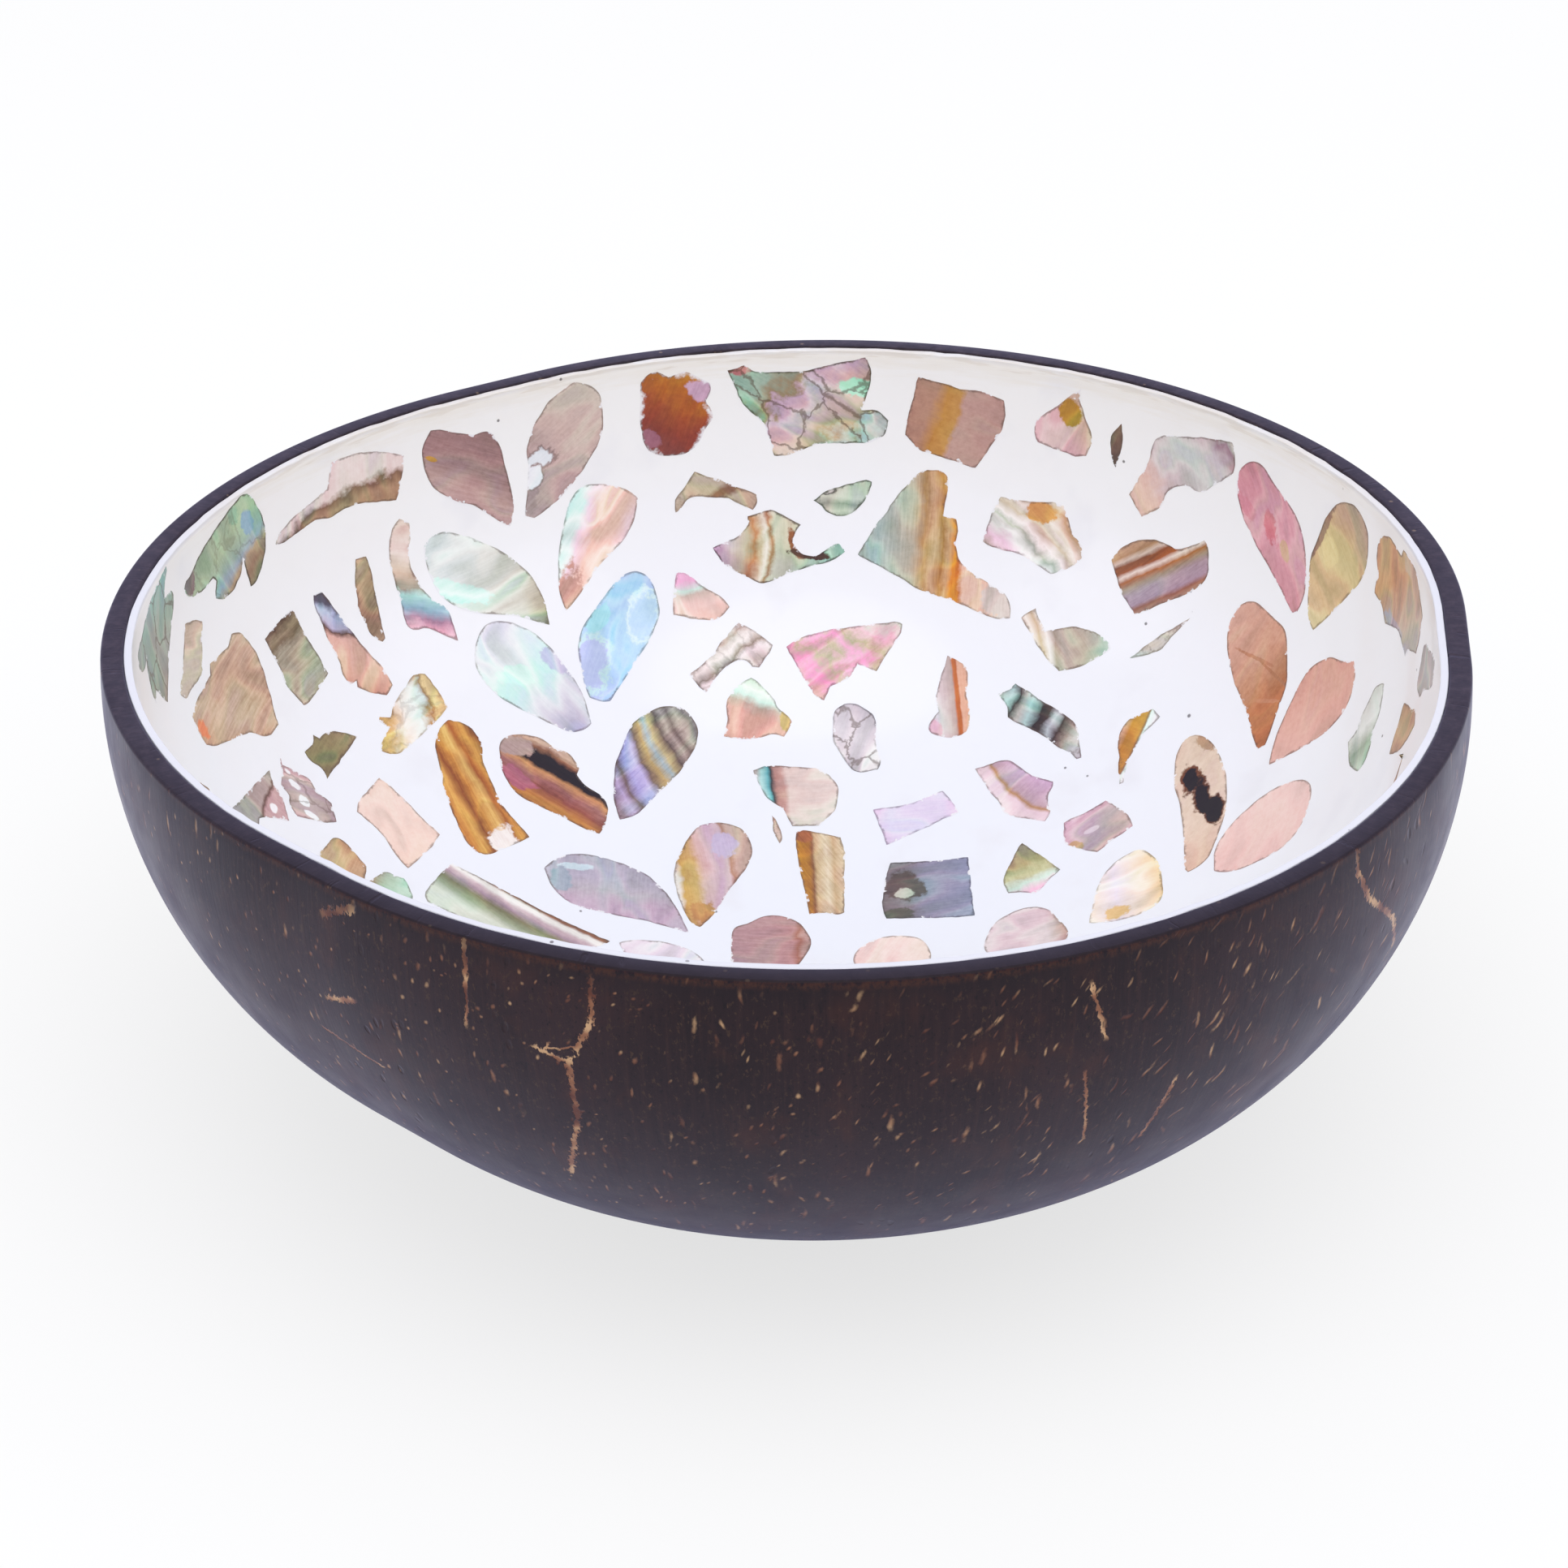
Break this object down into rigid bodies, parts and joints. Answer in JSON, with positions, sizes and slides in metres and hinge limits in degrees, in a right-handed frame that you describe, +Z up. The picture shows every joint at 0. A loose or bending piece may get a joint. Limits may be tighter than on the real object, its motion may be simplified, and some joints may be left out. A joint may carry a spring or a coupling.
{
  "type": "coconut shell bowl",
  "caption": "Half coconut shell bowl with a white lacquer lining inlaid flush with leaf-shaped and broken chips of mother-of-pearl.",
  "frame": {"origin": "middle of the sanded flat base, on the axis of the bowl, at the level the bowl rests on", "axes": "+Z up along the axis of the bowl, +Y to the far side and +X to the right as seen in the picture"},
  "size_m": [0.1385, 0.1413, 0.0526],
  "materials": {
    "coconut_shell": "polished dark brown coconut shell with short golden fibres",
    "lacquer_lining": "smooth white lacquer under a clear top coat",
    "mauve_leaf": "polished mother-of-pearl under a clear top coat",
    "taupe_leaf": "polished mother-of-pearl under a clear top coat",
    "green_leaf": "polished mother-of-pearl under a clear top coat",
    "peach_leaf": "polished mother-of-pearl under a clear top coat",
    "white_leaf": "polished mother-of-pearl under a clear top coat",
    "blue_leaf": "polished mother-of-pearl under a clear top coat",
    "rust_leaf": "polished mother-of-pearl under a clear top coat",
    "rainbow_leaf": "polished mother-of-pearl under a clear top coat",
    "lavender_leaf": "polished mother-of-pearl under a clear top coat",
    "ochre_leaf": "polished mother-of-pearl under a clear top coat",
    "pale_leaf": "polished mother-of-pearl under a clear top coat",
    "dusky_leaf": "polished mother-of-pearl under a clear top coat",
    "rose_leaf": "polished mother-of-pearl under a clear top coat",
    "olive_leaf": "polished mother-of-pearl under a clear top coat",
    "veined_leaf": "polished mother-of-pearl under a clear top coat",
    "salmon_leaf": "polished mother-of-pearl under a clear top coat",
    "blotched_leaf": "polished mother-of-pearl under a clear top coat",
    "blush_leaf": "polished mother-of-pearl under a clear top coat",
    "gold_leaf": "polished mother-of-pearl under a clear top coat",
    "shell_pink_leaf": "polished mother-of-pearl under a clear top coat",
    "cream_leaf": "polished mother-of-pearl under a clear top coat",
    "green_lobes": "polished mother-of-pearl under a clear top coat",
    "horn_crescent": "polished mother-of-pearl under a clear top coat",
    "amber_flake": "polished mother-of-pearl under a clear top coat",
    "green_abalone": "polished mother-of-pearl under a clear top coat",
    "taupe_hexagon": "polished mother-of-pearl under a clear top coat",
    "olive_pink_shard": "polished mother-of-pearl under a clear top coat",
    "grey_pink_abalone": "polished mother-of-pearl under a clear top coat",
    "brown_streak": "polished mother-of-pearl under a clear top coat",
    "beige_hook": "polished mother-of-pearl under a clear top coat",
    "green_half_moon": "polished mother-of-pearl under a clear top coat",
    "bitten_shard": "polished mother-of-pearl under a clear top coat",
    "big_triangle": "polished mother-of-pearl under a clear top coat",
    "striped_diamond": "polished mother-of-pearl under a clear top coat",
    "striped_flag": "polished mother-of-pearl under a clear top coat",
    "bone_shard": "polished mother-of-pearl under a clear top coat",
    "bright_pink_shard": "polished mother-of-pearl under a clear top coat",
    "mint_peach_shard": "polished mother-of-pearl under a clear top coat",
    "silver_crystal": "polished mother-of-pearl under a clear top coat",
    "orange_bar": "polished mother-of-pearl under a clear top coat",
    "black_bar": "polished mother-of-pearl under a clear top coat",
    "fish_shard": "polished mother-of-pearl under a clear top coat",
    "pink_lips": "polished mother-of-pearl under a clear top coat",
    "pink_brown_shard": "polished mother-of-pearl under a clear top coat",
    "lavender_oblong": "polished mother-of-pearl under a clear top coat",
    "grey_square": "polished mother-of-pearl under a clear top coat",
    "olive_kite": "polished mother-of-pearl under a clear top coat",
    "teal_beige_shard": "polished mother-of-pearl under a clear top coat",
    "ochre_fan": "polished mother-of-pearl under a clear top coat",
    "left_wall_shards": "polished mother-of-pearl under a clear top coat",
    "left_slivers": "polished mother-of-pearl under a clear top coat",
    "curved_bands": "polished mother-of-pearl under a clear top coat",
    "left_slabs": "polished mother-of-pearl under a clear top coat",
    "right_slivers": "polished mother-of-pearl under a clear top coat",
    "thin_splinters": "polished mother-of-pearl under a clear top coat",
    "front_left_leaves": "polished mother-of-pearl under a clear top coat",
    "front_right_leaves": "polished mother-of-pearl under a clear top coat",
    "front_shards": "polished mother-of-pearl under a clear top coat"
  },
  "bodies": {
    "root": {"coconut_shell": "coconut_shell", "lacquer_lining": "lacquer_lining", "mauve_leaf": "mauve_leaf", "taupe_leaf": "taupe_leaf", "green_leaf": "green_leaf", "peach_leaf": "peach_leaf", "white_leaf": "white_leaf", "blue_leaf": "blue_leaf", "rust_leaf": "rust_leaf", "rainbow_leaf": "rainbow_leaf", "lavender_leaf": "lavender_leaf", "ochre_leaf": "ochre_leaf", "pale_leaf": "pale_leaf", "dusky_leaf": "dusky_leaf", "rose_leaf": "rose_leaf", "olive_leaf": "olive_leaf", "veined_leaf": "veined_leaf", "salmon_leaf": "salmon_leaf", "blotched_leaf": "blotched_leaf", "blush_leaf": "blush_leaf", "gold_leaf": "gold_leaf", "shell_pink_leaf": "shell_pink_leaf", "cream_leaf": "cream_leaf", "green_lobes": "green_lobes", "horn_crescent": "horn_crescent", "amber_flake": "amber_flake", "green_abalone": "green_abalone", "taupe_hexagon": "taupe_hexagon", "olive_pink_shard": "olive_pink_shard", "grey_pink_abalone": "grey_pink_abalone", "brown_streak": "brown_streak", "beige_hook": "beige_hook", "green_half_moon": "green_half_moon", "bitten_shard": "bitten_shard", "big_triangle": "big_triangle", "striped_diamond": "striped_diamond", "striped_flag": "striped_flag", "bone_shard": "bone_shard", "bright_pink_shard": "bright_pink_shard", "mint_peach_shard": "mint_peach_shard", "silver_crystal": "silver_crystal", "orange_bar": "orange_bar", "black_bar": "black_bar", "fish_shard": "fish_shard", "pink_lips": "pink_lips", "pink_brown_shard": "pink_brown_shard", "lavender_oblong": "lavender_oblong", "grey_square": "grey_square", "olive_kite": "olive_kite", "teal_beige_shard": "teal_beige_shard", "ochre_fan": "ochre_fan", "left_wall_shards": "left_wall_shards", "left_slivers": "left_slivers", "curved_bands": "curved_bands", "left_slabs": "left_slabs", "right_slivers": "right_slivers", "thin_splinters": "thin_splinters", "front_left_leaves": "front_left_leaves", "front_right_leaves": "front_right_leaves", "front_shards": "front_shards"}
  },
  "joints": []
}
